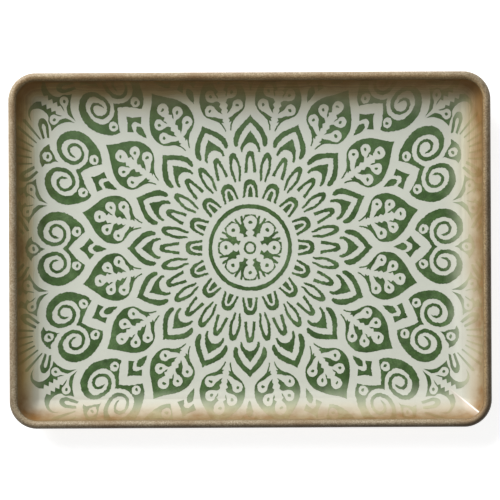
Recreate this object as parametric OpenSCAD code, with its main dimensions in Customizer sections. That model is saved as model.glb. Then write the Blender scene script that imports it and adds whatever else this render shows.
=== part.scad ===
// A rectangular serving tray of the painted folk kind. It is pressed from one sheet of steel, and its edge
// is rolled outwards over a wire. The sheet is coated all over, and a wheel of leaves and scrolls is
// painted on the pale coat of its floor.
// The origin is under the middle of the base, +X runs along the length and +Z points up.
//
// A "profile" below is drawn in two coordinates: how far a point lies in from the tray's outer edge, and
// its height. An ornament's "motif" is drawn with its axis on +Y, at its own distance from the centre.

/* [Tray] */
// Length over the rolled rim
tray_l = 400; // [380:1:440]
// Width over the rolled rim
tray_w = 295; // [280:1:320]
// Height from the table to the top of the rim
tray_h = 25; // [23:1:30]
// Radius of the four corners, measured on the outer edge of the rim
corner_r = 23; // [20:1:26]
// Distance from the outer edge in to the flat floor
floor_inset = 30; // [28:1:34]

/* [Sheet, wire and coats] */
// Thickness of the steel sheet
sheet_t = 0.8; // [0.6:0.1:1]
// Diameter of the wire inside the rolled rim
wire_d = 4.6; // [4:0.2:5]
// Gap where the two ends of the wire meet
wire_gap = 1; // [0.5:0.5:3]
// Angle that the sheet is rolled round the wire, from the inner side over the top
roll_angle = 300; // [270:5:305]
// Thickness of each coat
coat_t = 0.2; // [0.1:0.05:0.3]
// Thickness of the ornament's paint on top of the coat
paint_t = 0.15; // [0.1:0.05:0.2]

/* [Ornament] */
// Size of the whole ornament, as a part of its full size
ornament_scale = 1; // [0.85:0.01:1.05]
// How far the middle of the ornament lies right of the middle of the tray
ornament_x = 0.5; // [-3:0.1:3]
// How far the middle of the ornament lies behind the middle of the tray
ornament_y = 1.9; // [-3:0.1:3]

/* [Hidden] */
$fn = 96;

// Colours
steel = "#8d8f90";
cream = "#cfcdc4";
green = "#4f6f45";
tan_brown = "#94805e";
back_brown = "#5c4a33";

// Rim. The sheet's inner face runs straight up into the roll at rim_inset.
wire_r = wire_d / 2;
roll_r = wire_r + sheet_t;
bead_r = roll_r + coat_t;
rim_inset = bead_r + roll_r;
rim_z = tray_h - bead_r;
floor_z = coat_t + sheet_t;

// Wall. Two arcs that share a tangent carry the sheet's inner face from the floor, which they leave at
// start_a, up to the vertical at the rim. The wide one meets the tight one where they both lean at
// join_a. Their radii follow from the height and the run that the two arcs have to cover.
start_a = 3;
join_a = 50;
rise = rim_z - floor_z;
run = floor_inset - rim_inset;
wide_rise = cos(start_a) - cos(join_a);
wide_run = sin(join_a) - sin(start_a);
tight_rise = cos(join_a);
tight_run = 1 - sin(join_a);
arc_det = wide_rise * tight_run - tight_rise * wide_run;
wide_r = (rise * tight_run - tight_rise * run) / arc_det;
tight_r = (wide_rise * run - rise * wide_run) / arc_det;
tight_c = [rim_inset + tight_r, rim_z];
wide_c = tight_c + (wide_r - tight_r) * [sin(join_a), cos(join_a)];
floor_drop = wide_c[1] - floor_z;
wall_steps = 6;
roll_steps = 16;

// Rolled rim's long and short straight runs, and the corners: their sides and their first angle
long_run = tray_l - 2 * corner_r;
short_run = tray_w - 2 * corner_r;
CORNERS = [[1, 1, 0], [-1, 1, 90], [-1, -1, 180], [1, -1, 270]];
corner_steps = 10;
least_r = 0.4;

// Ornament. Its motifs repeat in 16 sectors, and the rosette in the middle in 8.
sectors = 16;
sector_a = 360 / sectors;
petals = 8;
paint_z = floor_z + coat_t;
dot_r = 1.1;

// ---- Profile of the wall -----------------------------------------------------------------------

// Points on an arc of the wall, with angles from straight down towards the rim
function arc_points(centre, r, from, to) =
    [for (i = [0 : wall_steps]) centre - r * [sin(from + (to - from) * i / wall_steps),
                                              cos(from + (to - from) * i / wall_steps)]];

// The angle at which the wide arc leaves the floor, on the face that lies "into" the well from the
// sheet's inner face
function foot_angle(into) = acos((floor_drop - into) / (wide_r - into));

// Where the flat floor starts on that face
function floor_start(into) = wide_c[0] - (wide_r - into) * sin(foot_angle(into));

// That face from the foot of the wall up to a height
function wall_points(into, top = rim_z) = concat(
    arc_points(wide_c, wide_r - into, foot_angle(into), join_a),
    arc_points(tight_c, tight_r - into, join_a + join_a / wall_steps,
               acos((rim_z - top) / (tight_r - into))));

// Points round the wire's centre
function roll_points(r, from, to) =
    [for (i = [1 : roll_steps]) [bead_r, rim_z]
        + r * [cos(from + (to - from) * i / roll_steps), sin(from + (to - from) * i / roll_steps)]];

function reversed(points) = [for (i = [len(points) - 1 : -1 : 0]) points[i]];

// ---- Going round the tray ----------------------------------------------------------------------

// The loop round the tray through one point of a profile. Its corners keep the centre of the outer
// corners, so they tighten with the distance from the edge until they are all but sharp.
function corner_radius(inset) = max(corner_r - inset, least_r);
function loop(point) = [for (corner = CORNERS) for (i = [0 : corner_steps])
    let (r = corner_radius(point[0]), angle = corner[2] + 90 * i / corner_steps)
        [corner[0] * (tray_l / 2 - point[0] - r) + r * cos(angle),
         corner[1] * (tray_w / 2 - point[0] - r) + r * sin(angle),
         point[1]]];

// A shell whose profile runs from its upper face to its lower one. The first and the last loop are
// closed with flat faces, or joined to each other where the shell is a ring.
module shell(profile, ring = false) {
    count = 4 * (corner_steps + 1);
    loops = len(profile);
    function at(k, i) = (k % loops) * count + i % count;
    sides = [for (k = [0 : loops - (ring ? 1 : 2)]) for (i = [0 : count - 1])
        for (half = [0, 1]) half == 0 ? [at(k, i), at(k, i + 1), at(k + 1, i + 1)]
                                      : [at(k, i), at(k + 1, i + 1), at(k + 1, i)]];
    caps = [[for (i = [count - 1 : -1 : 0]) i], [for (i = [0 : count - 1]) at(loops - 1, i)]];
    polyhedron([for (point = profile) each loop(point)], ring ? sides : concat(sides, caps), 4);
}

module at_corners() {
    for (corner = CORNERS)
        translate([corner[0] * long_run / 2, corner[1] * short_run / 2, 0])
            rotate([0, 0, corner[2]]) children();
}

// Sweeps a profile that lies within the corner radius round the whole edge of the tray
module around_edge() {
    for (turn = [0, 180]) rotate([0, 0, turn]) {
        translate([-long_run / 2, tray_w / 2, 0]) rotate([90, 0, 90])
            linear_extrude(long_run) mirror([1, 0]) children();
        rotate([0, 0, 90]) translate([-short_run / 2, tray_l / 2, 0]) rotate([90, 0, 90])
            linear_extrude(short_run) mirror([1, 0]) children();
    }
    at_corners() rotate_extrude(angle = 90) translate([corner_r, 0]) mirror([1, 0]) children();
}

// A layer rolled round the wire: a ring's section, open from the end of the roll to the wall
module roll_section(inner, outer) {
    reach = 3 * outer;
    translate([bead_r, rim_z]) difference() {
        circle(outer);
        circle(inner);
        polygon([[0, 0], [reach, 0], [reach, -reach],
                 reach * [cos(roll_angle), sin(roll_angle)]]);
    }
}

// ---- The pressed and rolled steel --------------------------------------------------------------

module pan() {
    color(steel) shell(concat(
        wall_points(0),
        roll_points(roll_r, 0, roll_angle),
        reversed(roll_points(wire_r, 0, roll_angle)),
        reversed(wall_points(-sheet_t))));
}

module rim_wire() {
    color(steel) difference() {
        around_edge() translate([bead_r, rim_z]) circle(wire_r);
        translate([0, -tray_w / 2, rim_z]) cube([wire_gap, 4 * bead_r, 2 * wire_d], center = true);
    }
}

// ---- The coats ---------------------------------------------------------------------------------

module ground_coat() {
    color(cream) shell(concat(wall_points(coat_t), reversed(wall_points(0))));
}

module rim_coat() {
    color(tan_brown) around_edge() roll_section(roll_r, bead_r);
}

// The back of the wall is coated up to the underside of the roll
module wall_back_coat() {
    color(back_brown) shell(concat(
        wall_points(-sheet_t, rim_z - roll_r),
        reversed(wall_points(-sheet_t - coat_t, rim_z - roll_r))), ring = true);
}

// What the tray stands on
module base_back_coat() {
    inset = floor_start(-sheet_t - coat_t);
    color(back_brown) translate([inset - tray_l / 2, inset - tray_w / 2, 0])
        cube([tray_l - 2 * inset, tray_w - 2 * inset, coat_t]);
}

// ---- Ornament: helpers -------------------------------------------------------------------------

// One layer of paint on the flat floor, trimmed where the floor turns up into the wall
module painted() {
    inset = floor_start(coat_t) + coat_t;
    color(green) translate([0, 0, paint_z]) linear_extrude(paint_t) intersection() {
        translate([ornament_x, ornament_y]) scale(ornament_scale) children();
        square([tray_l - 2 * inset, tray_w - 2 * inset], center = true);
    }
}

module repeated(count, turn = 0) {
    for (i = [0 : count - 1]) rotate(turn + i * 360 / count) children();
}

module pair() {
    children();
    mirror([1, 0]) children();
}

// A polygon and its mirror image, both with their points in the same turning direction
module polygon_pair(points) {
    polygon(points);
    polygon([for (i = [len(points) - 1 : -1 : 0]) [-points[i][0], points[i][1]]]);
}

// A round-headed arch that widens down to its foot. Its legs start just inside the head.
module arch(r, top, half_foot, foot) {
    shoulder = [0.98 * r, top - 0.9 * r];
    translate([0, top - r]) circle(r);
    polygon([shoulder, [-shoulder[0], shoulder[1]], [-half_foot, foot], [half_foot, foot]]);
}

// A pointed arch: two arcs that stand upright at the foot and meet at the tip. It hangs down
// where the tip is below the foot.
module ogive(half, foot, tip) {
    height = abs(tip - foot);
    r = (half * half + height * height) / (2 * half);
    intersection() {
        translate([half - r, foot]) circle(r);
        translate([r - half, foot]) circle(r);
        translate([-2 * half, min(foot, tip)]) square([4 * half, height]);
    }
}

module ring(outer, inner) {
    difference() {
        circle(outer);
        circle(inner);
    }
}

// ---- Ornament: the hub -------------------------------------------------------------------------

module centre_ring() {
    painted() ring(5.4, 3.5);
}

// Spiky pieces between the eight berries, each with three prongs that point outwards
module rosette() {
    painted() repeated(petals, 180 / petals) {
        polygon([[-0.6, 9.5], [0.6, 9.5], [1.5, 14], [0.9, 25.5], [-0.9, 25.5], [-1.5, 14]]);
        polygon_pair([[0.6, 15], [1.2, 14], [4.2, 19.5], [3.6, 20.4], [1.1, 17.6]]);
        polygon_pair([[0.5, 20.5], [1, 19], [3.6, 24.6], [2.8, 25.6]]);
    }
}

module rosette_dots() {
    painted() repeated(petals) translate([0, 21]) circle(1.25);
}

module hub_ring() {
    painted() {
        ring(34.9, 31.6);
        repeated(petals) difference() {
            translate([0, 21]) circle(7.2);
            translate([0, 21]) circle(6);
            translate([-8, 10]) square([16, 13]);
        }
    }
}

// ---- Ornament: the rings of arches -------------------------------------------------------------

module hoop_band() {
    painted() repeated(sectors) difference() {
        arch(5.2, 53.4, 6.3, 39.8);
        arch(3.1, 50.3, 4.6, 39);
    }
}

module hoop_cores() {
    painted() repeated(sectors) arch(1.6, 48.4, 2, 40.2);
}

module tongue_band() {
    painted() repeated(sectors) difference() {
        arch(3.2, 75.2, 4.7, 59);
        arch(1.2, 71.6, 2.5, 58);
    }
}

module lancet_band() {
    painted() repeated(sectors, sector_a / 2) difference() {
        union() {
            arch(2.7, 75, 4.3, 63);
            ogive(4.2, 63.2, 46);
        }
        arch(1, 71.2, 2.3, 63.9);
        ogive(2.2, 64.1, 51);
        translate([-5, 45]) square([10, 8]);
    }
}

module bell_band() {
    painted() repeated(sectors) difference() {
        union() {
            ogive(8, 77, 90.5);
            translate([-8, 74.8]) square([16, 2.3]);
        }
        translate([0, 75]) circle(6.3);
        translate([-6.3, 74]) square([12.6, 1]);
    }
}

module chevron_band() {
    painted() repeated(sectors) difference() {
        union() {
            ogive(13.5, 82, 102);
            polygon_pair([[10.1, 79.8], [11.2, 78.9], [12.6, 79.6], [13.4, 82.2], [9.7, 82.4]]);
        }
        ogive(10, 80, 96.4);
    }
}

// ---- Ornament: the leaves ----------------------------------------------------------------------

// Where the berries of a leaf's sprig sit
BERRIES = [[0, 128], [8.7, 120], [-8.7, 120], [11.2, 109.6], [-11.2, 109.6]];
berry_r = 4.2;

module leaf_band() {
    painted() repeated(sectors, sector_a / 2) difference() {
        union() {
            ogive(18.7, 114, 141.5);
            ogive(18.6, 114.2, 93);
        }
        polygon([[-0.8, 92], [0.8, 92], [1.6, 108], [1.2, 127], [-1.2, 127], [-1.6, 108]]);
        for (berry = BERRIES) translate(berry) circle(berry_r);
        pair() polygon([[0.8, 111], [6.5, 117], [8.5, 118], [7.5, 120], [1, 115]]);
        pair() polygon([[0.8, 100], [8, 106.5], [11, 107], [9, 110], [0.8, 104]]);
    }
}

module leaf_dots() {
    painted() repeated(sectors, sector_a / 2) for (berry = BERRIES) translate(berry) circle(dot_r);
}

module arrow_band() {
    painted() repeated(sectors)
        polygon([[0, 141], [-3.5, 137.4], [-8, 133.4], [-4.6, 130.8], [-2.2, 133.4], [0, 134.4],
                 [2.2, 133.4], [4.6, 130.8], [8, 133.4], [3.5, 137.4]]);
}

module diamond_band() {
    painted() repeated(sectors)
        polygon([[0, 121.5], [2.6, 127], [2.1, 130], [0, 131.4], [-2.1, 130], [-2.6, 127]]);
}

// ---- Ornament: the scrolls and what fills the corners ------------------------------------------

scroll_c = [13.6, 163.5];
scroll_berry = [14.3, 144.3];

module scroll_band() {
    painted() repeated(sectors) pair() difference() {
        union() {
            translate(scroll_c) circle(13.2);
            polygon([[0.8, 152], [0.8, 149.5], [5.5, 146], [14.5, 137.5], [21.5, 145], [26.4, 158],
                     [26.8, 163.5], [4, 163.5]]);
        }
        translate(scroll_c) difference() {
            circle(9.5);
            circle(7);
            rotate(200) square([12, 5]);
        }
        translate(scroll_c) ring(4.4, 2);
        translate(scroll_berry) circle(4.4);
        polygon([[0, 163], [0, 156], [3.4, 158]]);
        polygon([[0, 140], [5, 143], [0, 148.8]]);
    }
}

module scroll_dots() {
    painted() repeated(sectors) pair() translate(scroll_berry) circle(dot_r);
}

// A lens over each pair of scrolls, with a berry in it
module crest_band() {
    painted() repeated(sectors) difference() {
        union() {
            ogive(7, 181, 187);
            ogive(6.9, 181.2, 173);
        }
        translate([0, 182]) circle(3);
    }
}

// Rays that fan out from the crest, and one leaf between two fans
module ray_band() {
    painted() repeated(sectors) for (turn = [-33 : 11 : 33])
        translate([0, 182]) rotate(turn) polygon([[-0.4, 9], [0.4, 9], [1.4, 24], [-1.4, 24]]);
    painted() repeated(sectors, sector_a / 2) difference() {
        union() {
            ogive(7, 188, 204);
            ogive(6.9, 188.2, 172);
        }
        translate([0, 188]) circle(3.4);
        translate([0, 176.5]) circle(2);
    }
}

pan();
rim_wire();
ground_coat();
rim_coat();
wall_back_coat();
base_back_coat();
centre_ring();
rosette();
rosette_dots();
hub_ring();
hoop_band();
hoop_cores();
tongue_band();
lancet_band();
bell_band();
chevron_band();
leaf_band();
leaf_dots();
arrow_band();
diamond_band();
scroll_band();
scroll_dots();
crest_band();
ray_band();
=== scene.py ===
# %% [markdown]
# # A painted tray with a rolled rim
# This tray is one sheet of steel, pressed into a floor and a coved wall, with its edge rolled over a
# wire. All of it is coated, and a green wheel of leaves and scrolls is painted on the pale coat. The
# metal comes from the frame as it is. Here the coats get smooth walls, and the ornament gets its real
# outlines, draped over the cove as raised paint.

# %% Start from the frame
import math

import bpy
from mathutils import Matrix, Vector, noise


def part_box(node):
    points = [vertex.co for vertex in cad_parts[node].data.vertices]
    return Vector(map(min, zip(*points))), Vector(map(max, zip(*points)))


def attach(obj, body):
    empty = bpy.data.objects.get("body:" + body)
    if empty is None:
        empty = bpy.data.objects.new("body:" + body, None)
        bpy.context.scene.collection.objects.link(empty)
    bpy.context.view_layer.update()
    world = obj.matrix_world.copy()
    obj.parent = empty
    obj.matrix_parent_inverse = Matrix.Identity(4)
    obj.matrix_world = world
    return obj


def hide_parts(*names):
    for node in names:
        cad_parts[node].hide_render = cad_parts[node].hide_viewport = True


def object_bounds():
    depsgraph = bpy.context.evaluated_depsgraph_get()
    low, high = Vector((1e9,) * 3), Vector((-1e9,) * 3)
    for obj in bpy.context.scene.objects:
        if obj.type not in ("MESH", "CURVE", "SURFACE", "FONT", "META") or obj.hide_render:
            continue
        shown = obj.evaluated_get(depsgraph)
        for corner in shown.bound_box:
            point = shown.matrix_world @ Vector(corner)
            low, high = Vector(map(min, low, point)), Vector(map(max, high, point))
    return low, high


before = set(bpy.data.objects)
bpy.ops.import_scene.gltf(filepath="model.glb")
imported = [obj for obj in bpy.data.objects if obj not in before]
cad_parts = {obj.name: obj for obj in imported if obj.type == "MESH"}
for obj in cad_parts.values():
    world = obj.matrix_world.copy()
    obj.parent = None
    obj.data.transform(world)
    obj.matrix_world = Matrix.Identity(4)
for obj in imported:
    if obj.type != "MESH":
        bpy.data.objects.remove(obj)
cad_low, cad_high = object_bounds()
MM = 0.001
print("tray box in mm", [round(v / MM, 2) for v in cad_high - cad_low])

# %% [markdown]
# ## The sizes
# The sizes come from the boxes of the frame's nodes. Only the corners' radius and the angles where the
# wall's arcs start and join are written down here. The wall's section is the frame's own: a wide arc
# from the floor and a tight arc up to the rim, which share a tangent. Two equations, one for the run
# and one for the rise, give their radii.

# %% Sizes of the tray
half_x = (cad_high.x - cad_low.x) / 2
half_y = (cad_high.y - cad_low.y) / 2
wire_low, wire_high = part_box("rim_wire")
wire_r = (wire_high.z - wire_low.z) / 2
rim_z = (wire_high.z + wire_low.z) / 2
bead_r = cad_high.z - rim_z
coat_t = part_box("base_back_coat")[1].z
sheet_t = bead_r - wire_r - coat_t
floor_z = coat_t + sheet_t
floor_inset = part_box("base_back_coat")[0].x - cad_low.x
rim_inset = 2 * bead_r - coat_t
corner_r = 23 * MM
corner_steps = 24
start_a, join_a = math.radians(3), math.radians(50)
rise, run = rim_z - floor_z, floor_inset - rim_inset
wide_rise, wide_run = math.cos(start_a) - math.cos(join_a), math.sin(join_a) - math.sin(start_a)
tight_rise, tight_run = math.cos(join_a), 1 - math.sin(join_a)
det = wide_rise * tight_run - tight_rise * wide_run
wide_r = (rise * tight_run - tight_rise * run) / det
tight_r = (wide_rise * run - rise * wide_run) / det
tight_c = Vector((rim_inset + tight_r, rim_z))
wide_c = tight_c + (wide_r - tight_r) * Vector((math.sin(join_a), math.cos(join_a)))
print("wall arcs in mm", round(wide_r / MM, 2), round(tight_r / MM, 2))

# %% Points on the wall
TIGHT_STEPS, WIDE_STEPS = 14, 16


def arc(centre, radius, start, end, steps):
    angles = [start + (end - start) * i / steps for i in range(steps + 1)]
    return [centre - radius * Vector((math.sin(a), math.cos(a))) for a in angles]


def wall(into, top=rim_z):
    """The wall's section from the rim down to the floor, on the face that lies into the well."""
    wide, tight = wide_r - into, tight_r - into
    foot = math.acos((wide_c.y - floor_z - into) / wide)
    lip = math.acos((rim_z - top) / tight)
    return arc(tight_c, tight, lip, join_a, TIGHT_STEPS) + arc(wide_c, wide, join_a, foot, WIDE_STEPS)[1:]


# %% [markdown]
# ## Working in edit mode
# bpy.ops acts on what is selected, so these helpers pick one object or a few faces, run the operators
# and leave the rest of the scene alone.

# %% Helpers for objects
def only(*objects):
    bpy.ops.object.select_all(action="DESELECT")
    for each in objects:
        each.select_set(True)
    bpy.context.view_layer.objects.active = objects[0]
    return objects[0]


def edit(piece, *steps):
    """Runs operators on everything that is selected in the piece's edit mode."""
    only(piece)
    bpy.ops.object.mode_set(mode="EDIT")
    for step, options in steps:
        step(**options)
    bpy.ops.object.mode_set(mode="OBJECT")


def modifier(piece, kind, **options):
    only(piece)
    added = piece.modifiers.new(kind, kind)
    for name, value in options.items():
        setattr(added, name, value)
    bpy.ops.object.modifier_apply(modifier=added.name)


def finished(piece, slot, *nodes):
    """Hands a piece to the frame: hides the nodes that it stands for and hangs it on the body it rides on.
    The slot is not used.
    """
    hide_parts(*nodes)
    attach(piece, "root")
    print(piece.name, len(piece.data.polygons), "faces")


# %% [markdown]
# ## The coats
# A coat follows the pressed sheet. It could be swept, but pressing is closer to an inset: a flat
# rounded sheet is inset again and again, and each inset goes a little deeper. That keeps every loop
# parallel to the rim, so the corners tighten on the way down and end in soft mitres, as they do on the
# real tray. The corners' points are merged once their radius is used up.

# %% A sheet that is inset down a wall
CORNER_MERGE = 0.5 * MM


def rounded_sheet(inset, z):
    bpy.ops.mesh.primitive_plane_add(size=2, location=(0, 0, z))
    sheet = bpy.context.object
    sheet.scale = (half_x - inset, half_y - inset, 1)
    only(sheet)
    bpy.ops.object.transform_apply(location=True, rotation=True, scale=True)
    rounding = {"affect": "VERTICES", "offset": corner_r - inset, "segments": corner_steps}
    edit(sheet, (bpy.ops.mesh.select_all, {"action": "SELECT"}), (bpy.ops.mesh.bevel, rounding))
    return sheet


def pressed(name, section):
    """Insets a sheet down a section whose points go in from the rim."""
    sheet = rounded_sheet(*section[0])
    bpy.ops.object.mode_set(mode="EDIT")
    bpy.ops.mesh.select_mode(type="FACE")
    bpy.ops.mesh.select_all(action="SELECT")
    spent = corner_r - 0.05 * MM
    for before, after in zip(section, section[1:]):
        if before[0] < spent < after[0]:
            middle = before + (after - before) * (spent - before[0]) / (after[0] - before[0])
            bpy.ops.mesh.inset(thickness=middle[0] - before[0], depth=middle[1] - before[1])
            bpy.ops.mesh.remove_doubles(threshold=CORNER_MERGE)
            before = middle
        bpy.ops.mesh.inset(thickness=after[0] - before[0], depth=after[1] - before[1])
    bpy.ops.object.mode_set(mode="OBJECT")
    sheet.name = sheet.data.name = name
    return sheet


# %% [markdown]
# The well's coat is that sheet with a thickness behind it. A thinner copy, a little proud of the coat,
# is kept as the layer that the ornament is cut from. It ends part of the way up the wall, where the
# colour has worn away.

# %% Well coat and paint layer
paint_t = 0.14 * MM
paint_top = 18 * MM

ground = pressed("ground_coat_smooth", wall(coat_t))
modifier(ground, "SOLIDIFY", thickness=coat_t, offset=-1, use_even_offset=True)
finished(ground, "ground_enamel", "ground_coat")

layer = pressed("paint_layer", wall(coat_t, paint_top))
modifier(layer, "SOLIDIFY", thickness=paint_t, offset=0.5, use_even_offset=True)

# %% [markdown]
# The back is pressed the same way, on the far side of the steel. Its faces have to look down and out,
# so the sheet is turned over before it gets its thickness.

# %% Back coat
back = pressed("back_coat_smooth", wall(-sheet_t - coat_t, rim_z - wire_r - sheet_t))
edit(back, (bpy.ops.mesh.select_all, {"action": "SELECT"}), (bpy.ops.mesh.flip_normals, {}))
modifier(back, "SOLIDIFY", thickness=coat_t, offset=-1, use_even_offset=True)
finished(back, "back_enamel", "wall_back_coat", "base_back_coat")

# %% [markdown]
# ## The rim
# The edge is rolled round the wire and stops just short of the wall. A curve sweeps that section
# round the tray: the path is the outline of a rounded sheet, and the bevel object is the coat's own
# section, an open ring.

# %% Rolled rim
roll_end = math.radians(300)


def ring_section(inner, outer, end, steps=40):
    """An open ring in the plane, drawn as a closed outline that a path can carry."""
    turns = [end * i / steps for i in range(steps + 1)]
    corners = [(outer * math.cos(t), outer * math.sin(t)) for t in turns]
    corners += [(inner * math.cos(t), inner * math.sin(t)) for t in reversed(turns)]
    outline = bpy.data.curves.new("section", "CURVE")
    spline = outline.splines.new("POLY")
    spline.points.add(len(corners) - 1)
    for point, (across, up) in zip(spline.points, corners):
        point.co = (across, up, 0, 1)
    spline.use_cyclic_u = True
    section = bpy.data.objects.new("section", outline)
    bpy.context.collection.objects.link(section)
    return section


def swept(name, section, inset, z):
    path = rounded_sheet(inset, z)
    edit(path, (bpy.ops.mesh.select_mode, {"type": "FACE"}),
         (bpy.ops.mesh.select_all, {"action": "SELECT"}),
         (bpy.ops.mesh.delete, {"type": "ONLY_FACE"}))
    bpy.ops.object.convert(target="CURVE")
    path.data.twist_mode = "Z_UP"
    path.data.bevel_mode = "OBJECT"
    path.data.bevel_object = section
    bpy.ops.object.convert(target="MESH")
    bpy.data.objects.remove(section)
    edit(path, (bpy.ops.mesh.select_all, {"action": "SELECT"}),
         (bpy.ops.mesh.remove_doubles, {"threshold": 0.001 * MM}),
         (bpy.ops.mesh.normals_make_consistent, {"inside": False}))
    path.name = path.data.name = name
    return path


rim = swept("rim_coat_smooth", ring_section(bead_r - coat_t, bead_r, roll_end), bead_r, rim_z)
finished(rim, "rim_enamel", "rim_coat")

# %% [markdown]
# ## How the ornament is drawn
# The wheel repeats in sixteen sectors, and its hub in eight. Each motif is drawn once, in millimetres,
# with its axis pointing up from the wheel's centre: the first number is how far a point lies to the
# side, the second how far out. A third number marks a sharp corner, and the other points are joined by
# smooth curves. Most motifs are symmetric, so only their right half is written down.
#
# The real stencil was cut by hand, so a slow noise moves every point a little, and once the outline is
# a mesh a fine noise nicks its edges. The noise is seeded, so that every run draws the same outlines.

# %% Drawing helpers
SECTORS, PETALS = 16, 8
HALF_SECTOR = math.pi / SECTORS
WANDER_SPAN, WANDER = 9, 0.45
NICKS = ((1.7, 0.52), (0.9, 0.24))  # how far apart and how deep, in mm
CURVE_STEPS = 7
cutter_height = 2 * cad_high.z
noise.seed_set(7)


def both(half):
    """Adds the mirrored half to a right half, so that the outline closes."""
    mirrored = [(-point[0], *point[1:]) for point in reversed(half) if abs(point[0]) > 1e-6]
    return half + mirrored


def oval(u, w, across, along=None, turn=0.0, steps=8):
    along = along or across
    points = []
    for i in range(steps):
        a = 2 * math.pi * i / steps
        x, y = across * math.cos(a), along * math.sin(a)
        points.append((u + x * math.cos(turn) - y * math.sin(turn),
                       w + x * math.sin(turn) + y * math.cos(turn)))
    return points


def mirrored_pair(*outlines):
    return list(outlines) + [[(-point[0], *point[1:]) for point in outline] for outline in outlines]


def on_tray(u, w, turn):
    """Where a motif's point lies on the tray, in metres. The wheel was set out by eye: it is taller than
    it is wide, swells towards the far side and the corners, and its centre isn't quite the tray's.
    Across and up are in units of 100 mm, so each factor below is a shift in mm at that distance."""
    across = (u * math.cos(turn) - w * math.sin(turn)) / 100
    up = (u * math.sin(turn) + w * math.cos(turn)) / 100
    x = 0.1 + 100.7 * across + 0.7 * up + 0.6 * across * up + 2.1 * across * up * up
    y = (2 + 103.8 * up + 0.2 * across + 4 * up * math.hypot(across, up) + 1.2 * up * up
         + 0.6 * across * up + 0.9 * (across * up) ** 2
         - 0.7 * max(up, 0) ** 5 * abs(across) * (1 - 0.25 * across))
    wander = noise.noise_vector(Vector((x, y, 3.0)) / WANDER_SPAN) * WANDER
    return (x + wander.x) * MM, (y + wander.y) * MM


def stencil(name, rows, rough):
    """A tall cutter in the shape of all copies of some motifs. Each row is (outlines, how many copies,
    the first one's turn). Rough says how much of the full nicks its edges get."""
    sheet = bpy.data.curves.new(name, "CURVE")
    sheet.dimensions, sheet.fill_mode, sheet.resolution_u = "2D", "NONE", CURVE_STEPS
    for outlines, count, first in rows:
        for copy in range(count):
            turn = first + copy * 2 * math.pi / count
            for outline in outlines:
                spline = sheet.splines.new("BEZIER")
                spline.bezier_points.add(len(outline) - 1)
                spline.use_cyclic_u = True
                for knot, point in zip(spline.bezier_points, outline):
                    knot.co = (*on_tray(point[0], point[1], turn), 0)
                    kind = "VECTOR" if len(point) > 2 else "AUTO"
                    knot.handle_left_type = knot.handle_right_type = kind
    cutter = bpy.data.objects.new(name, sheet)
    bpy.context.collection.objects.link(cutter)
    only(cutter)
    bpy.ops.object.convert(target="MESH")
    for vertex in cutter.data.vertices:
        nick = Vector()
        for span, reach in NICKS:
            nick += noise.noise_vector(vertex.co / (span * MM)) * reach
        vertex.co += Vector((nick.x, nick.y, 0)) * rough * MM
    bpy.ops.object.convert(target="CURVE")
    cutter.data.dimensions, cutter.data.fill_mode = "2D", "BOTH"
    bpy.ops.object.convert(target="MESH")
    edit(cutter, (bpy.ops.mesh.select_all, {"action": "SELECT"}),
         (bpy.ops.mesh.remove_doubles, {"threshold": 0.005 * MM}))
    modifier(cutter, "SOLIDIFY", thickness=cutter_height, offset=0)
    return cutter


def painted(name, node, *rows, rough=1.0):
    """Cuts the paint layer with a stencil and hands the raised paint to the frame. A thin motif needs a
    stencil that is less rough, so that its two edges stay apart."""
    cutter = stencil(name + "_stencil", rows, rough)
    only(layer)
    bpy.ops.object.duplicate()
    paint = bpy.context.object
    modifier(paint, "BOOLEAN", operation="INTERSECT", solver="MANIFOLD", object=cutter)
    bpy.data.objects.remove(cutter)
    if len(paint.data.polygons) == len(layer.data.polygons):
        raise ValueError(name + ": the stencil's outline crosses itself, so nothing was cut")
    paint.name = paint.data.name = name
    finished(paint, "green_paint", node)
    return paint


paints = []

# %% [markdown]
# ## The hub
# A small ring, then eight berries on a pale ground. Between the berries stand spiky pieces with two
# prongs, and each berry is outlined on its outer side.

# %% Hub
centre = [oval(0, 0, 5.3, steps=12), oval(0, 0, 3.6, steps=12)]
paints.append(painted("centre_ring_paint", "centre_ring", (centre, 1, 0)))

spiky = both([(1.8, 9.6, 1), (1.4, 12.4), (3.8, 13.8, 1), (2.7, 15.8), (2.3, 18.6), (2.8, 21.2),
              (4.3, 23), (6.6, 24.1), (8.3, 24), (9.6, 23.5, 1), (10, 24.7, 1), (6, 25.9, 1),
              (4.9, 24.8, 1), (3.5, 23.2, 1), (3.4, 26.3, 1), (1.8, 26.4, 1), (1.1, 22.4),
              (0.3, 20.2, 1)])
paints.append(painted("rosette_paint", "rosette", ([spiky], PETALS, math.pi / PETALS)))
paints.append(painted("rosette_dots_paint", "rosette_dots", ([oval(0.1, 20.1, 1.6, 1.3)], PETALS, 0)))
hub = [oval(0, 0, 34.7, steps=24), oval(0, 0, 31.4, steps=24)]
paints.append(painted("hub_ring_paint", "hub_ring", (hub, 1, 0)))

# %% [markdown]
# ## The rings of arches
# Hoops with a core stand on the hub's ring. Tongues and lancets take turns outside them, and a ring of
# bells under pointed chevrons closes the daisy.

# %% Hoops, tongues and lancets
def arch(outer, inner):
    """An open arch: its outer edge up to the top and down again, and its inner edge back."""
    outer_left = [(-p[0], *p[1:]) for p in reversed(outer) if p[0] > 0]
    inner_left = [(-p[0], *p[1:]) for p in inner if p[0] > 0]
    return outer + outer_left + inner_left + list(reversed(inner))


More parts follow.
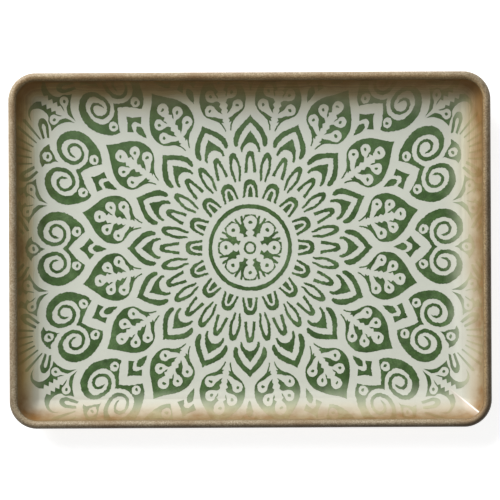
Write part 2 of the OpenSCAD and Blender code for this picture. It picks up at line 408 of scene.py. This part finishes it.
hoop = arch([(6.4, 39.8, 1), (6.1, 43), (5.8, 46.5), (5.4, 49.6), (4, 52.3), (1.8, 53.6), (0, 53.8)],
            [(4.5, 39.9, 1), (4.2, 42.5), (3.7, 45.5), (2.9, 48), (1.6, 49.6), (0, 50.2)])
core = both([(2.1, 40.2, 1), (1.9, 42.6), (1.6, 45.2), (0.9, 47.6), (0, 48.4)])
tongue = arch([(4.9, 58.9, 1), (4.7, 62), (4.2, 65.5), (3.7, 69.5), (3.1, 72.6), (2, 74.8), (0, 75.6)],
              [(2.5, 58.9, 1), (2.3, 61.5), (2, 65), (1.5, 68.2), (0.8, 70.6), (0, 71.7, 1)])
lancet = arch([(2.4, 52.8, 1), (3.1, 56), (4, 59), (4.5, 62), (4.4, 65.4), (3.9, 69), (3.3, 71.8),
               (2, 74.4), (0, 75.3)],
              [(1.2, 53, 1), (1.1, 55.5), (1.6, 58.2), (2.2, 61), (2.3, 63.6), (1.8, 67), (0.9, 70),
               (0, 71.3, 1)])
paints.append(painted("hoops_paint", "hoop_band", ([hoop], SECTORS, 0)))
paints.append(painted("hoop_cores_paint", "hoop_cores", ([core], SECTORS, 0)))
paints.append(painted("tongues_paint", "tongue_band", ([tongue], SECTORS, 0)))
paints.append(painted("lancets_paint", "lancet_band", ([lancet], SECTORS, HALF_SECTOR)))

# %% Bells and chevrons
bell = arch([(7.9, 74.6, 1), (8.2, 77.3), (7.5, 80), (6, 82.8), (3.8, 86), (1.5, 88.8), (0, 90.7, 1)],
            [(6.4, 74.7, 1), (6.2, 76.3), (5.2, 78.6), (3, 80.9), (0, 81.7)])
chevron = arch([(10.4, 79.6, 1), (11.6, 78.6), (13.3, 80.3), (13.8, 83.6), (12.4, 88.6), (8.7, 93.6),
                (4.4, 97.8), (1.6, 100.4), (0, 102.4, 1)],
               [(10.1, 81.6), (9.6, 84.2), (8, 87.6), (4.9, 91.9), (1.6, 95.2), (0, 96.5, 1)])
paints.append(painted("bells_paint", "bell_band", ([bell], SECTORS, 0)))
paints.append(painted("chevrons_paint", "chevron_band", ([chevron], SECTORS, 0)))

# %% [markdown]
# ## The leaves
# A leaf is green round a pale sprig with five berries. The sprig's stem runs out of the bottom of the
# leaf, so one outline does for all of it: up the outside to the tip, and back down along the stem,
# where barbs, stalks and berries make the bays.

# %% Leaves
leaf = both([(0, 142.2, 1), (1.9, 139.8), (5.6, 135.6), (9.6, 131.8), (13.8, 127.4), (16.6, 123),
             (18.4, 118.6), (18.7, 114.2), (18, 110), (16, 106.2), (12.4, 103.4), (8.2, 101.1),
             (5.4, 98.6), (3.6, 95.6), (2.3, 92, 1), (1.6, 92.6, 1), (2.5, 95.8), (4, 98.9, 1),
             (2, 98.6, 1), (3, 100.4, 1), (2.2, 101.8, 1), (5, 102.6), (8.6, 104.4), (11.6, 105.1),
             (14.9, 107), (15.6, 110.2), (14, 113), (11, 113.9), (8.1, 112.4), (6.9, 109.9), (4.6, 107.2),
             (1.9, 105, 1), (2.8, 107.4, 1), (1.9, 108.9, 1), (3.5, 111.2, 1), (2.1, 113.2, 1),
             (4.2, 115.3), (8.2, 115.6), (12, 117.2), (13, 120.2), (11.6, 123.2), (8.6, 124.3), (6, 123),
             (4.9, 120.2), (3.2, 116.9, 1), (3, 119, 1), (4.2, 120.6, 1), (2, 122.2, 1), (3.6, 124.6),
             (4.6, 127.8), (3.5, 131), (0, 132.3)])
leaf_dots = [oval(-0.6, 127.7, 1.5, 0.9, 0.3), oval(8.4, 119.6, 1.4, 1, 0.9),
             oval(-9, 119.8, 1.3, 1.1, -0.5), oval(11, 109.4, 1.5, 1, -0.3),
             oval(-11.6, 109.7, 1.3, 1, 1.1)]
paints.append(painted("leaves_paint", "leaf_band", ([leaf], SECTORS, HALF_SECTOR), rough=0.6))
paints.append(painted("leaf_dots_paint", "leaf_dots", (leaf_dots, SECTORS, HALF_SECTOR)))

# %% Arrows and diamonds
arrow = both([(0, 142.4, 1), (1.8, 139.9), (4, 137.2, 1), (8.3, 133.8, 1), (4.5, 130.2, 1), (3.4, 132.4),
              (2.1, 134.6), (0, 135.4)])
diamond = both([(0, 131.6, 1), (1.5, 130.4), (2.7, 128.2), (2.1, 124.8), (1, 121.8), (0, 119.6, 1)])
paints.append(painted("arrows_paint", "arrow_band", ([arrow], SECTORS, 0)))
paints.append(painted("diamonds_paint", "diamond_band", ([diamond], SECTORS, 0)))

# %% [markdown]
# ## The scrolls
# Outside each arrow two scrolls meet over a zigzag. Each is one green band that starts broad on the
# outside, thins as it winds in, and ends as a single line in the middle. A berry sits in each foot.

# %% Scrolls
scrolls = both([(0, 151.7, 1), (4.1, 148.2), (8.6, 143.4), (12.9, 137.5, 1), (17.6, 139.8), (22, 144.5),
                (25.8, 150.4), (28, 156.3), (28.4, 161.8), (27, 167.6), (23.8, 172.7), (19.1, 176),
                (14, 177.1), (9, 175.8), (4.9, 172.1), (2.6, 167.2), (2.1, 162.4), (3.1, 158.2),
                (6, 154.7), (10, 153), (14, 153.6), (17.3, 156.4), (18.9, 160.6), (18.3, 164.4),
                (15.7, 167.1), (12.3, 167.6), (9.5, 165.7), (8.1, 162.5), (8.7, 159.2, 1), (9.7, 161.9),
                (11, 164.5), (13.3, 165.3), (15.8, 163.8), (16.7, 161), (15.6, 157.9), (13.2, 156),
                (10.4, 155.6), (7.7, 157), (5.7, 159.8), (5.1, 163), (5.9, 166.7), (7.9, 170.6),
                (11.3, 172.3), (15.3, 171.9), (19.1, 169.1), (21.3, 164.7), (21.9, 159.9), (20.7, 155),
                (17.7, 151.2), (13.1, 149.7), (8.3, 149.8), (4.4, 151.8), (1.6, 154.3), (0, 156.4, 1)])
foot_berries = mirrored_pair(oval(13.2, 144.7, 3.7, 3.9, steps=10))
foot_dots = mirrored_pair(oval(13.2, 144.2, 1.5, 1, 0.4))
paints.append(painted("scrolls_paint", "scroll_band", ([scrolls] + foot_berries, SECTORS, 0)))
paints.append(painted("scroll_dots_paint", "scroll_dots", (foot_dots, SECTORS, 0)))

# %% [markdown]
# ## What fills the corners
# Over each pair of scrolls sits a lens with a berry. Rays fan out beyond it from a point behind the
# lens, between two hoops that lean outwards. Between two fans a barbed sprig stands on the next axis,
# with a berry on either side.

# %% Crests, fans and sprigs
crest = both([(0, 186.8), (4.8, 185.6), (7.6, 183.7), (9.4, 182, 1), (6.2, 180.9), (4.6, 178.2),
              (2.2, 175.2), (0.9, 173.6), (0, 171, 1)])
crest_hole = oval(0, 180.6, 3.3, 4, steps=10)
crest_dot = oval(0.2, 180.3, 1.7, 1, 0.3)


FAN_CENTRE = 171


def fan_point(angle, out, across):
    """A point on the fan, so far out along the ray at that angle, and so far to the side of it."""
    a = math.radians(angle)
    return out * math.sin(a) + across * math.cos(a), FAN_CENTRE + out * math.cos(a) - across * math.sin(a)


def ray(angle, start, end, width):
    """A thin ray that widens outwards, with a rounded end."""
    near, far = 0.2 * width, 0.5 * width
    return [(*fan_point(angle, start, -near), 1), (*fan_point(angle, end - far, -far), 1),
            fan_point(angle, end, 0),
            (*fan_point(angle, end - far, far), 1), (*fan_point(angle, start, near), 1)]


rays = [ray(angle, 22.6 - 0.05 * abs(angle), 40, 2.5) for angle in (-27, -16, -5, 5, 16, 27)]


def petal(points):
    """A round-headed hoop that leans out from the fan's foot. Its points are (across, along)."""
    lean, foot_u, foot_w = math.radians(56), 12.0, 185.6
    return [(foot_u + p[1] * math.sin(lean) + p[0] * math.cos(lean),
             foot_w + p[1] * math.cos(lean) - p[0] * math.sin(lean), *p[2:]) for p in points]


petal_hoop = petal(arch([(2.8, 0.2, 1), (3.6, 7), (3.5, 12.2), (0, 15.8)],
                        [(1, 1, 1), (1.2, 6), (1.3, 9.6), (0, 11.4)]))

sprig = [(0.7, 171.4, 1), (2.6, 175.2), (5.6, 178.6), (9.6, 181.4), (13.4, 183), (17, 183.8, 1),
         (14.4, 186.4), (12.4, 189.6), (9, 191.6), (7.7, 195), (7.8, 199), (9.6, 202.4), (13, 204.4),
         (17.4, 203.2), (20.6, 199.6, 1), (17.6, 204.6), (12.6, 206.6), (7, 205.8, 1), (4.8, 204.6, 1),
         (2.4, 201.6, 1), (5, 199.4, 1), (1.9, 197.4, 1), (4.8, 195.2, 1), (1.9, 193.2, 1), (4.7, 191, 1),
         (1.9, 189, 1), (3.8, 187.4, 1), (1.9, 182.4, 1), (3.6, 184.4), (4.5, 186.6), (5.6, 189),
         (8.2, 190), (10.8, 189.4), (12.2, 186.8), (11.4, 184.4), (8.8, 183.1), (6.2, 182.8),
         (3.8, 181.2), (1.6, 179, 1), (1.2, 176)]
sprig_dots = mirrored_pair(oval(8.4, 186.4, 1.3, 1, 0.5))
paints.append(painted("crests_paint", "crest_band", ([crest, crest_hole, crest_dot], SECTORS, 0)))
paints.append(painted("fans_paint", "ray_band", (rays + mirrored_pair(petal_hoop), SECTORS, 0),
                      (mirrored_pair(sprig) + sprig_dots, SECTORS, HALF_SECTOR), rough=0.4))
bpy.data.objects.remove(layer)

# %% Smooth shading
SHARP_FROM = math.radians(35)
for piece in [ground, back, rim] + paints:
    only(piece)
    bpy.ops.object.shade_smooth_by_angle(angle=SHARP_FROM)


# %% [markdown]
# ## Finishes
# The tray is enamelled: a satin off-white ground, green paint with a slight mottle, and walls that are
# stained tan and brown like an old piece, with painted light and shade added to the walls and the rim. Both
# the ground and the paint need to know how far a point lies from the rim, so that is a node group, and the
# stain with its painted light and shade that follows from it is a second one.

# %% Node helpers
WHITE = (1, 1, 1, 1)


def colour(red, green, blue):
    """A colour as a screen shows it, 0 to 255, in the linear values that nodes take."""
    shares = (value / 255 for value in (red, green, blue))
    return tuple(v / 12.92 if v <= 0.04 else ((v + 0.055) / 1.055) ** 2.4 for v in shares) + (1,)


class Nodes:
    """Adds nodes to one tree. An input is given a constant or another node's output."""

    def __init__(self, tree):
        self.tree = tree

    def plug(self, socket, value):
        if isinstance(value, bpy.types.NodeSocket):
            self.tree.links.new(value, socket)
        else:
            socket.default_value = value

    def add(self, kind, inputs=(), out=0, **settings):
        node = self.tree.nodes.new("ShaderNode" + kind)
        for key, value in settings.items():
            setattr(node, key, value)
        for key, value in dict(inputs).items():
            self.plug(node.inputs[key], value)
        return node.outputs[out]

    def math(self, operation, *values):
        return self.add("Math", dict(enumerate(values)), operation=operation)

    def total(self, first, *others):
        for other in others:
            first = self.math("ADD", first, other)
        return first

    def product(self, first, *others):
        for other in others:
            first = self.math("MULTIPLY", first, other)
        return first

    def place(self):
        return self.add("TexCoord", out="Object")

    def along(self, axis):
        """How far the point lies along X, Y or Z (0, 1 or 2), in metres."""
        return self.add("SeparateXYZ", {0: self.place()}, out=axis)

    def noise(self, scale, detail=3.0, rough=0.5, vector=None):
        return self.add("TexNoise", {"Vector": vector or self.place(), "Scale": scale,
                                     "Detail": detail, "Roughness": rough})

    def fit(self, value, low, high, new_low=0.0, new_high=1.0):
        """Maps low..high to new_low..new_high and stays inside that range. Low may be the larger one."""
        return self.add("MapRange", {"Value": value, "From Min": low, "From Max": high,
                                     "To Min": new_low, "To Max": new_high})

    def ramp(self, value, *stops):
        """A colour ramp. Each stop is its position and a screen colour."""
        node = self.tree.nodes.new("ShaderNodeValToRGB")
        self.plug(node.inputs["Fac"], value)
        elements = node.color_ramp.elements
        while len(elements) < len(stops):
            elements.new(0.5)
        for element, (position, *screen) in zip(elements, stops):
            element.position, element.color = position, colour(*screen)
        return node.outputs["Color"]

    def grey(self, value):
        return self.add("CombineColor", {0: value, 1: value, 2: value})

    def mix(self, factor, first, second, blend="MIX"):
        """Mixes two colours. The node's colour inputs are numbers 6 and 7, and its colour output is 2."""
        node = self.tree.nodes.new("ShaderNodeMix")
        node.data_type, node.blend_type = "RGBA", blend
        for index, value in ((0, factor), (6, first), (7, second)):
            self.plug(node.inputs[index], value)
        return node.outputs[2]

    def tinted(self, first, second):
        return self.mix(1.0, first, second, "MULTIPLY")

    def group(self, tree, out, **inputs):
        node = self.tree.nodes.new("ShaderNodeGroup")
        node.node_tree = tree
        for key, value in inputs.items():
            self.plug(node.inputs[key], value)
        return node.outputs[out]


def new_group(name, inputs, outputs):
    tree = bpy.data.node_groups.new(name, "ShaderNodeTree")
    for socket, kind in outputs:
        tree.interface.new_socket(socket, in_out="OUTPUT", socket_type="NodeSocket" + kind)
    for socket, default in inputs:
        made = tree.interface.new_socket(socket, in_out="INPUT", socket_type="NodeSocketFloat")
        made.default_value = default
    given = tree.nodes.new("NodeGroupInput").outputs
    result = tree.nodes.new("NodeGroupOutput").inputs
    print("node group", name)
    return tree, Nodes(tree), given, result


# %% [markdown]
# The distance to a rectangle with rounded corners is a sum of two parts: how far a point lies outside
# the rectangle of the corner centres, and how deep it lies inside. It is put out in millimetres. A
# noise makes it wander, by as many millimetres as the input says, so that no edge of a stain is straight.

# %% Distance from the rim
IN_MM = 1000.0
from_rim, nodes, given, result = new_group("Distance from the rim", [("Wander", 0.0)], [("Inset", "Float")])
over = [nodes.math("SUBTRACT", nodes.math("ABSOLUTE", nodes.along(axis)), half - corner_r)
        for axis, half in enumerate((half_x, half_y))]
outside = [nodes.math("MAXIMUM", value, 0.0) for value in over]
length = nodes.math("SQRT", nodes.total(*(nodes.product(value, value) for value in outside)))
inside = nodes.math("MINIMUM", nodes.math("MAXIMUM", *over), 0.0)
depth = nodes.math("SUBTRACT", corner_r, nodes.total(length, inside))
wander = nodes.product(nodes.math("SUBTRACT", nodes.noise(28.0, 4.0, 0.6), 0.5), given["Wander"])
nodes.plug(result["Inset"], nodes.total(nodes.product(depth, IN_MM), wander))

# %% [markdown]
# The stain is brown under the rim, then tan, and it clears towards the floor. Painted light and shade are
# mixed into it by the wall, so there are three ramps: on the far wall, which faces away from the key light,
# the stain is browner and darker as painted shade; on the near and right walls, which face the key, it is
# lighter, with a whiter band in the cove as painted light; and on the left wall, also turned from the key,
# it is yellower and lighter as a painted fill. Each ramp runs from the rim (0) to 40 mm in from it (1).
# Fine streaks run along the stain under the far rim, and brown patches sit under the rim and in the
# corners.
#
# In the near right corner a painted highlight runs along the wall's fold: a thin bright line with a softer,
# lighter painted glow beside it. The paint has worn off the near and right walls further down than off the
# others, partly as wear and partly as a painted sheen where those walls face the key light, and near the
# far wall the stain tints it olive.

# %% Stain with painted light and shade
stain_light_group, nodes, given, result = new_group(
    "Stain and painted light", [("Wander", 6.0)],
    [("Colour", "Color"), ("Wear_and_sheen", "Float"), ("Grime", "Float"), ("Tint", "Float")])
inset = nodes.group(from_rim, "Inset", Wander=given["Wander"])
x, y = nodes.along(0), nodes.along(1)
to_far = nodes.math("SUBTRACT", nodes.product(y, 1 / half_y), nodes.product(x, 0.4 / half_x))
deep_x, deep_y = [nodes.math("SUBTRACT", half * IN_MM, nodes.product(nodes.math("ABSOLUTE", value), IN_MM))
                  for value, half in ((x, half_x), (y, half_y))]
on_left = nodes.product(nodes.fit(nodes.math("SUBTRACT", deep_y, deep_x), 0.0, 30.0),
                        nodes.fit(x, -0.5 * half_x, -0.7 * half_x))

depth = nodes.fit(inset, 0.0, 40.0)
floor_tone = (219, 223, 210)
# Painted light and shade: the far wall's ramp is darker (painted shade), the near and right walls' ramp has
# a whiter cove band (painted light), and the left wall's ramp is lighter (painted fill).
stain_and_light_near = nodes.ramp(depth, (0.14, 140, 112, 74), (0.2, 164, 145, 112), (0.29, 194, 180, 155),
                   (0.38, 203, 195, 173), (0.5, 211, 210, 195), (0.68, 227, 230, 217), (0.95, *floor_tone))
stain_and_shade_far = nodes.ramp(depth, (0.14, 112, 80, 38), (0.2, 146, 110, 60), (0.3, 170, 142, 92),
                     (0.42, 186, 166, 120), (0.52, 212, 205, 170), (0.65, 224, 223, 198),
                     (0.85, 219, 220, 206), (1.0, *floor_tone))
stain_and_fill_left = nodes.ramp(depth, (0.14, 140, 108, 54), (0.25, 190, 158, 100), (0.33, 214, 197, 146),
                      (0.42, 225, 214, 175), (0.5, 225, 227, 204), (0.7, 221, 225, 211),
                      (0.95, *floor_tone))
tone = nodes.mix(on_left, nodes.mix(nodes.fit(to_far, -0.7, 0.9), stain_and_light_near, stain_and_shade_far), stain_and_fill_left)

along_wall = nodes.add("CombineXYZ", {0: nodes.product(inset, 1.1), 1: nodes.product(x, 9.0),
                                      2: nodes.product(y, 9.0)})
streak = nodes.fit(nodes.noise(1.0, 3.0, 0.6, vector=along_wall), 0.3, 0.7, 0.72, 1.2)
plainer = nodes.math("MAXIMUM", nodes.fit(inset, 12.0, 22.0), nodes.fit(to_far, 0.6, -0.4))
tone = nodes.tinted(tone, nodes.mix(plainer, nodes.grey(streak), WHITE))

in_corner = nodes.fit(nodes.math("MAXIMUM", deep_x, deep_y), 42.0, 20.0)
blotch = nodes.total(nodes.fit(nodes.noise(48.0, 4.0, 0.65), 0.42, 0.66, 0.0, 0.75),
                     nodes.product(in_corner, 0.5))
tone = nodes.mix(nodes.product(blotch, nodes.fit(inset, 16.5, 8.5)), tone, colour(140, 102, 56))

# How far a point lies in from the right and the near edge, and so from the fold in the corner between.
from_right = nodes.math("SUBTRACT", half_x * IN_MM, nodes.product(x, IN_MM))
from_near = nodes.total(half_y * IN_MM, nodes.product(y, IN_MM))
mean = nodes.product(nodes.total(from_right, from_near), 0.5)
leaning = nodes.math("SUBTRACT", 3.4, nodes.product(mean, 0.18))
off_fold = nodes.total(nodes.math("SUBTRACT", from_right, from_near), leaning)
along_fold = nodes.product(nodes.fit(mean, 7.0, 11.0), nodes.fit(mean, 34.0, 22.0))
# Painted highlight: a thin bright line along the fold, and a softer painted glow on one side of it.
fold_highlight = nodes.product(nodes.fit(nodes.math("ABSOLUTE", off_fold), 1.2, 0.3), along_fold)
highlight_glow = nodes.product(nodes.fit(off_fold, 9.0, 1.0), nodes.fit(off_fold, -2.0, 0.0), along_fold)
tone = nodes.mix(nodes.product(highlight_glow, 0.7), tone, colour(214, 198, 182))
nodes.plug(result["Colour"], nodes.mix(fold_highlight, tone, colour(252, 248, 240)))

# Partly painted sheen: the near and right walls, which face the key light, lose their green further down.
sheen_by_wall = nodes.total(nodes.product(x, -5.2 / half_x), nodes.product(y, 1.9 / half_y))
ragged = nodes.fit(nodes.noise(60.0, 3.0), 0.3, 0.7, -2.5, 2.5)
wear_and_sheen_depth = nodes.total(nodes.math("SUBTRACT", inset, 0.9), sheen_by_wall, ragged)
nodes.plug(result["Wear_and_sheen"], nodes.math("POWER", nodes.fit(wear_and_sheen_depth, 33.0, 9.0), 1.5))
nodes.plug(result["Grime"], nodes.fit(inset, 20.0, 7.0))
olive = nodes.fit(to_far, 0.3, 1.0, 0.0, 0.42)
nodes.plug(result["Tint"], nodes.product(nodes.fit(inset, 44.0, 20.0), olive))

# %% [markdown]
# Enamel isn't quite even: it pools, so its colour drifts a little, and its surface has a faint
# orange-peel ripple that breaks up reflections. Size is the drift's size in millimetres.

# %% Mottle
mottle, nodes, given, result = new_group(
    "Mottle", [("Size", 10.0), ("Strength", 0.2)], [("Shade", "Float"), ("Ripple", "Float")])
broad = nodes.noise(nodes.math("DIVIDE", 1000.0, given["Size"]), 4.0, 0.6)
fine = nodes.noise(nodes.math("DIVIDE", 5000.0, given["Size"]), 2.0, 0.5)
swing = nodes.total(nodes.math("SUBTRACT", broad, 0.5),
                    nodes.product(nodes.math("SUBTRACT", fine, 0.5), 0.5))
nodes.plug(result["Shade"], nodes.total(1.0, nodes.product(swing, given["Strength"])))
nodes.plug(result["Ripple"], nodes.noise(260.0, 2.0, 0.5))


def material(name):
    made = bpy.data.materials.new(name)
    made.use_nodes = True
    print("material", name)
    return made, Nodes(made.node_tree), made.node_tree.nodes["Principled BSDF"].inputs


def bumped(nodes, shader, height, depth):
    nodes.plug(shader["Normal"], nodes.add("Bump", {"Height": height, "Distance": depth}))


# %% Ground enamel
EDGE_WANDER = 6.0
SATIN, GRIMY = 0.44, 0.5
GLAZE_SHEEN = 0.36

ground_look, nodes, shader = material("stained_enamel_with_painted_light")
# The stain colour carries painted light and shade: darker on the far wall, lighter on the near and right
# ones, and a painted highlight along the near right corner's fold.
stain = nodes.group(stain_light_group, "Colour", Wander=EDGE_WANDER)
drift = nodes.group(mottle, "Shade", Size=30.0, Strength=0.12)
nodes.plug(shader["Base Color"], nodes.tinted(stain, nodes.grey(drift)))
grime = nodes.group(stain_light_group, "Grime", Wander=EDGE_WANDER)
nodes.plug(shader["Roughness"], nodes.fit(grime, 0.0, 1.0, SATIN, GRIMY))
shader["Specular IOR Level"].default_value = GLAZE_SHEEN
bumped(nodes, shader, nodes.group(mottle, "Ripple", Size=30.0, Strength=0.0), 0.04 * MM)

# %% [markdown]
# The green drifts between a darker and a lighter leaf green and has a fine grain. It is paler near the far
# wall. Where it has worn off, and where a painted sheen washes it out on the near and right walls, only a
# ghost of it tints the stain.

# %% Green paint
green_look, nodes, shader = material("green_enamel")
pool = nodes.fit(nodes.noise(45.0, 5.0, 0.65), 0.32, 0.68)
leafy = nodes.ramp(pool, (0.0, 62, 90, 44), (0.5, 74, 103, 57), (1.0, 97, 124, 80))
drift = nodes.group(mottle, "Shade", Size=7.0, Strength=1.3)
grain = nodes.fit(nodes.noise(900.0, 2.0, 0.6), 0.3, 0.7, 0.84, 1.16)
leafy = nodes.tinted(leafy, nodes.grey(nodes.product(drift, grain)))
pale = nodes.fit(nodes.along(1), 0.35 * half_y, 0.9 * half_y, 0.0, 0.55)
leafy = nodes.mix(pale, leafy, colour(98, 122, 84))
leafy = nodes.mix(nodes.group(stain_light_group, "Tint", Wander=EDGE_WANDER), leafy, colour(116, 108, 58))
ghost = nodes.tinted(nodes.group(stain_light_group, "Colour", Wander=EDGE_WANDER), (0.86, 0.9, 0.78, 1))
nodes.plug(shader["Base Color"], nodes.mix(nodes.group(stain_light_group, "Wear_and_sheen", Wander=EDGE_WANDER), leafy, ghost))
grime = nodes.group(stain_light_group, "Grime", Wander=EDGE_WANDER)
nodes.plug(shader["Roughness"], nodes.fit(grime, 0.0, 1.0, SATIN, GRIMY))
shader["Specular IOR Level"].default_value = GLAZE_SHEEN
bumped(nodes, shader, nodes.group(mottle, "Ripple", Size=30.0, Strength=0.0), 0.05 * MM)

# %% [markdown]
# The rim's enamel is satin and speckled, with brown clouds. It is painted dark brown low down, where it
# meets the wall and turns under, as painted shade in the groove and under the bead. Its outer face on the
# near and right sides, which face away from the key light, is painted darker as shade too, and it is warm
# on top of the far and right ones. The back is plain off-white with the same stain at its edge.

# %% Rim and back enamel
rim_look, nodes, shader = material("speckled_enamel")
speckle = nodes.fit(nodes.noise(900.0, 2.0, 0.7), 0.35, 0.65)
cloud = nodes.noise(40.0, 3.0)
shade = nodes.ramp(speckle, (0.0, 136, 118, 90), (0.5, 164, 148, 120), (1.0, 194, 180, 154))
shade = nodes.mix(nodes.fit(cloud, 0.4, 0.7, 0.0, 0.6), shade, colour(134, 106, 70))
x, y, z = [nodes.along(axis) for axis in range(3)]
# Painted shade: dark brown low down, in the groove by the wall and under the bead.
shade = nodes.mix(nodes.fit(z, rim_z + 1.6 * MM, rim_z - 0.4 * MM), shade, colour(66, 52, 36))
# Painted shade: the outer face of the near and right sides, which face away from the key light, is
# darkened.
broader = nodes.fit(x, 0.8 * half_x, 0.97 * half_x, 0.0, 1.5)
outer = nodes.fit(nodes.math("SUBTRACT", nodes.group(from_rim, "Inset", Wander=1.5), broader), 4.3, 1.4)
to_far = nodes.math("SUBTRACT", nodes.product(y, 1 / half_y), nodes.product(x, 0.8 / half_x))
painted_shade_outer = nodes.product(outer, nodes.math("SUBTRACT", 1.0, nodes.fit(to_far, -0.5, 0.5)))
shade = nodes.mix(painted_shade_outer, shade, nodes.tinted(shade, (0.3, 0.28, 0.24, 1)))
far_or_right = nodes.math("MAXIMUM", nodes.fit(y, 0.6 * half_y, 0.95 * half_y),
                          nodes.fit(x, 0.85 * half_x, 0.96 * half_x))
warmed = nodes.product(nodes.math("SUBTRACT", 1.0, outer), far_or_right)
nodes.plug(shader["Base Color"], nodes.mix(warmed, shade, nodes.tinted(shade, (0.9, 0.77, 0.58, 1))))
nodes.plug(shader["Roughness"], nodes.fit(cloud, 0.3, 0.7, 0.42, 0.6))
bumped(nodes, shader, speckle, 0.05 * MM)

back_look, nodes, shader = material("back_enamel")
worn = nodes.fit(nodes.group(from_rim, "Inset", Wander=9.0), 26.0, 5.0)
plain = nodes.mix(worn, colour(205, 200, 182), colour(142, 116, 80))
drift = nodes.group(mottle, "Shade", Size=22.0, Strength=0.3)
nodes.plug(shader["Base Color"], nodes.tinted(plain, nodes.grey(drift)))
nodes.plug(shader["Roughness"], nodes.fit(nodes.noise(50.0), 0.3, 0.7, 0.35, 0.5))
bumped(nodes, shader, nodes.group(mottle, "Ripple", Size=22.0, Strength=0.0), 0.05 * MM)


# %% [markdown]
# The steel shows only in the slit of the rolled edge. Its grain is drawn out: along X on the sheet, and
# along the wire's height on the wire.

# %% Steel
def steel(name, tone, stretch):
    made, nodes, shader = material(name)
    along = nodes.add("Mapping", {"Vector": nodes.place(), "Scale": stretch})
    grain = nodes.noise(300.0, 3.0, 0.6, vector=along)
    nodes.plug(shader["Base Color"], nodes.ramp(grain, (0.3, *(0.85 * v for v in tone)), (0.7, *tone)))
    nodes.plug(shader["Roughness"], nodes.fit(grain, 0.3, 0.7, 0.3, 0.5))
    shader["Metallic"].default_value = 1.0
    bumped(nodes, shader, grain, 0.02 * MM)
    return made


sheet_look = steel("sheet_steel", (158, 156, 150), (0.05, 1, 1))
wire_look = steel("drawn_wire", (170, 170, 166), (0.02, 0.02, 1))

# %% Painting the pieces
looks = [(ground, ground_look), (rim, rim_look), (back, back_look)]
looks += [(paint, green_look) for paint in paints]
looks += [(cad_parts["pan"], sheet_look), (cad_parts["rim_wire"], wire_look)]
for piece, look in looks:
    piece.data.materials.clear()
    piece.data.materials.append(look)
print(len(looks), "pieces painted")

# %% [markdown]
# ## The studio
# A plain white table, one broad soft light low behind the tray's far left corner, which shapes the
# walls, and a weak even light from all round. The table glows a little, so that it stays white beside
# the tray and its shadow stays faint. The camera looks straight down from well above through a long
# lens, turned by a quarter of a degree.

# %% Table
TABLE_SIZE, TABLE_GAP = 8, 0.3 * MM
bpy.ops.mesh.primitive_plane_add(size=TABLE_SIZE, location=(0, 0, cad_low.z - TABLE_GAP))
table = bpy.context.object
table.name = "studio_table"
table_look, nodes, shader = material("white_table")
shader["Base Color"].default_value = (0.7, 0.7, 0.7, 1)
shader["Roughness"].default_value = 0.9
shader["Specular IOR Level"].default_value = 0.1
shader["Emission Color"].default_value = WHITE
shader["Emission Strength"].default_value = 0.78
table.data.materials.append(table_look)


# %% Lights
def softbox(name, size, watts, azimuth, elevation, distance):
    """A square light at that bearing from +X and height above the table, in degrees, facing the tray."""
    a, e = math.radians(azimuth), math.radians(elevation)
    towards = Vector((math.cos(a) * math.cos(e), math.sin(a) * math.cos(e), math.sin(e)))
    bpy.ops.object.light_add(type="AREA", location=towards * distance)
    light = bpy.context.object
    light.name = light.data.name = name
    light.data.energy, light.data.size = watts, size
    light.rotation_euler = towards.to_track_quat("Z", "Y").to_euler()
    print("light", name, watts, "W")


softbox("key_light", size=2.0, watts=124, azimuth=126, elevation=31, distance=3.0)
world = bpy.data.worlds.new("studio")
bpy.context.scene.world = world
world.use_nodes = True
background = world.node_tree.nodes["Background"].inputs
background["Color"].default_value = WHITE
background["Strength"].default_value = 0.22

# %% Camera
VIEW_WIDTH = 414.7 * MM
LENS, SENSOR = 135, 36
VIEW_TURN = math.radians(-0.27)
camera_z = rim_z + VIEW_WIDTH * LENS / SENSOR
bpy.ops.object.camera_add(location=(0, 0, camera_z), rotation=(0, 0, VIEW_TURN))
camera = bpy.context.object
camera.data.lens, camera.data.sensor_width = LENS, SENSOR
camera.data.clip_start = 0.05
bpy.context.scene.camera = camera
bpy.context.scene.view_settings.view_transform = "Standard"
bpy.context.scene.view_settings.look = "None"
print("camera", round(camera_z, 3), "m above the table")
